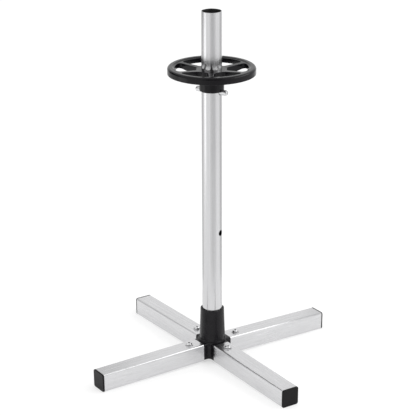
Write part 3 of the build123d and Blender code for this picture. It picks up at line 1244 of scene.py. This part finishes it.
@dataclass
class Flag:
    """An upright grey card that is seen only in reflections, where it shades the gloss.

    Args:
        name: Its name.
        azimuth: Its bearing, on the camera's scale.
        distance: How far from the upright it stands.
        size: Its width and height.
        grey: How light the middle of its face is.
        edge: How light its feathered sides are.
        foot: The height of its lower edge.
        plateau: The share of its width, from the middle out, over which its face is even.
    """

    name: str
    azimuth: float
    distance: float
    size: tuple[float, float]
    grey: float
    edge: float = 1.0
    foot: float = 0.03
    plateau: float = 0.15

    def build(self) -> bpy.types.Object:
        """Makes the card: a rectangle across its bearing, which fades towards its sides.

        Returns:
            The card.
        """
        width, height = self.size
        back = np.array(bearing(self.azimuth))
        side = np.array((-back[1], back[0], 0.0))
        across = np.array((-1, 1, 1, -1)) * width / 2
        up = np.array((0, 0, 1, 1)) * height + self.foot
        points = back * self.distance + np.outer(across, side) + np.outer(up, (0, 0, 1))
        card = flat_sheet(self.name, points)
        material, graph, shader = new_material(self.name)
        place = graph.stretched(EVEN)
        grain = MouldGrain().place(graph, Vector=place, Scale=200.0)
        sideways = graph.node("ShaderNodeVectorMath", operation="DOT_PRODUCT")
        graph.join(place, sideways.inputs[0])
        sideways.inputs[1].default_value = tuple(side)
        outward = graph.math("ABSOLUTE", sideways.outputs["Value"])
        feather = graph.span(outward, self.grey, self.edge, self.plateau * width, width / 2)
        level = graph.math("MULTIPLY", feather, graph.span(grain["Mottle"], 0.97, 1.0))
        graph.feed(shader.inputs["Base Color"], (0.0, 0.0, 0.0, 1.0))
        graph.join(level, shader.inputs["Emission Color"])
        shader.inputs["Emission Strength"].default_value = 1.0
        shader.inputs["Roughness"].default_value = 0.9
        shader.inputs["Specular IOR Level"].default_value = 0.0
        card.data.materials.append(material)
        card.visible_camera = False
        card.visible_shadow = False
        card.visible_diffuse = False
        return card


# ---------------------------------------------------------------------------
# The stand
# ---------------------------------------------------------------------------


def leg_steel(direction: Direction) -> DrawnSteel:
    """The brushed finish of the legs that run in one direction.

    Args:
        direction: The way those legs run.

    Returns:
        The finish.
    """
    return DrawnSteel(
        name=f"leg_steel_{direction.name.lower()}",
        direction=direction,
        light=(0.73, 0.73, 0.74),
        dark=(0.56, 0.56, 0.57),
        smoothest=0.16,
        roughest=0.3,
        fine=1500.0,
        broad=260.0,
        stretch=28.0,
        relief=0.00006,
    )


def build_stand() -> None:
    """Dresses every part of the stand."""
    pole_low, pole_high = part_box("upright_pole")
    pole_radius = (pole_high - pole_low).x / 2
    hub_black = MouldedPlastic(
        name="hub_plastic",
        deep=(0.004, 0.0034, 0.0048),
        bloom=(0.009, 0.0082, 0.01),
        sheen_wear_and_dust=(0.06, 0.06, 0.065),
        smoothest=0.2,
        roughest=0.34,
        gloss=0.2,
    )
    disc_black = MouldedPlastic(
        name="disc_plastic",
        deep=(0.0028, 0.0024, 0.0034),
        bloom=(0.006, 0.0054, 0.0068),
        sheen_wear_and_dust=(0.1, 0.1, 0.105),
        smoothest=0.1,
        roughest=0.22,
        gloss=0.2,
    )
    cap_black = MouldedPlastic(
        name="cap_plastic",
        deep=(0.0025, 0.0022, 0.003),
        bloom=(0.005, 0.0046, 0.0056),
        sheen_wear_and_dust=(0.02, 0.02, 0.021),
        smoothest=0.35,
        roughest=0.5,
        gloss=0.17,
    )
    plating = PlatedSteel(
        name="hardware_plating",
        bright=(0.74, 0.74, 0.75),
        dull=(0.6, 0.6, 0.61),
        smoothest=0.04,
        roughest=0.12,
    )
    # A dark material that paints the shade in the bolts' sockets and under their rims.
    socket_and_rim_shade = MouldedPlastic(
        name="socket_and_rim_shade",
        deep=(0.008, 0.008, 0.008),
        bloom=(0.02, 0.02, 0.02),
        sheen_wear_and_dust=(0.05, 0.05, 0.05),
        smoothest=0.5,
        roughest=0.7,
        gloss=0.2,
    )
    pole_steel = DrawnSteel(
        name="pole_steel",
        direction=Direction.ALONG_Z,
        light=(0.66, 0.66, 0.67),
        dark=(0.57, 0.57, 0.58),
        smoothest=0.15,
        roughest=0.24,
        fine=2200.0,
        broad=240.0,
        stretch=60.0,
        relief=0.00003,
        # The tube's inside, below its cut edge, is painted dark as shade.
        bore=pole_radius - CUT_EDGE,
        rim=pole_high.z - CUT_EDGE,
        spread=0.7,
    )
    steels = {way: leg_steel(way) for way in (Direction.ALONG_X, Direction.ALONG_Y)}
    base = CrossBase(
        hub_finish=hub_black,
        cap_finish=cap_black,
        leg_finishes=steels,
        hardware_finish=plating,
        shade_finish=socket_and_rim_shade,
    )
    base.dress()
    base.build()
    Upright(pole_steel, plating).dress()
    Carrier(disc_black).dress()


def build_studio() -> None:
    """Sets up the floor, the light and the camera."""
    pieces = (
        Floor(),
        Surroundings(
            walls=((0.0, 0.95), (0.34, 1.15), (0.85, 0.9), (1.0, 0.95)),
            ceiling=1.0,
            strength=1.0,
        ),
        SoftBox("left_lamp", -112.0, distance=1.5, size=(0.72, 0.56), brightness=0.72, aim_height=0.3),
        SoftBox(
            name="high_lamp",
            azimuth=56.0,
            elevation=50.0,
            distance=1.6,
            size=(1.1, 0.6),
            brightness=1.9,
            aim_height=0.05,
        ),
        Flag("front_flag", azimuth=-20.0, distance=1.3, size=(1.9, 1.4), grey=0.74),
        Flag("right_flag", azimuth=88.0, distance=1.3, size=(1.5, 1.4), grey=0.7),
        Flag("left_flag", azimuth=-165.0, distance=1.3, size=(1.3, 1.4), grey=0.72),
        Flag("low_front_flag", azimuth=-20.0, distance=0.45, size=(0.66, 0.36), grey=0.84),
        Flag("low_right_flag", azimuth=88.0, distance=0.45, size=(0.5, 0.36), grey=0.72),
        Flag("low_left_flag", azimuth=-165.0, distance=0.45, size=(0.45, 0.36), grey=0.74),
        Flag("edge_flag", azimuth=-150.0, distance=1.25, size=(1.5, 0.8), grey=0.03, edge=0.3, foot=0.64),
        Flag("lens_flag", azimuth=-30.0, distance=1.0, size=(1.0, 1.0), grey=0.04, edge=0.6, foot=0.84),
        Viewpoint(),
    )
    for piece in pieces:
        LOG.info("set up %s", piece.build().name)
    bpy.context.scene.view_settings.view_transform = "Standard"


def main() -> None:
    """Builds the stand and its studio, in order."""
    logging.basicConfig(level=logging.INFO, format="%(name)s: %(message)s")
    build_stand()
    build_studio()


if __name__ == "__main__":
    main()
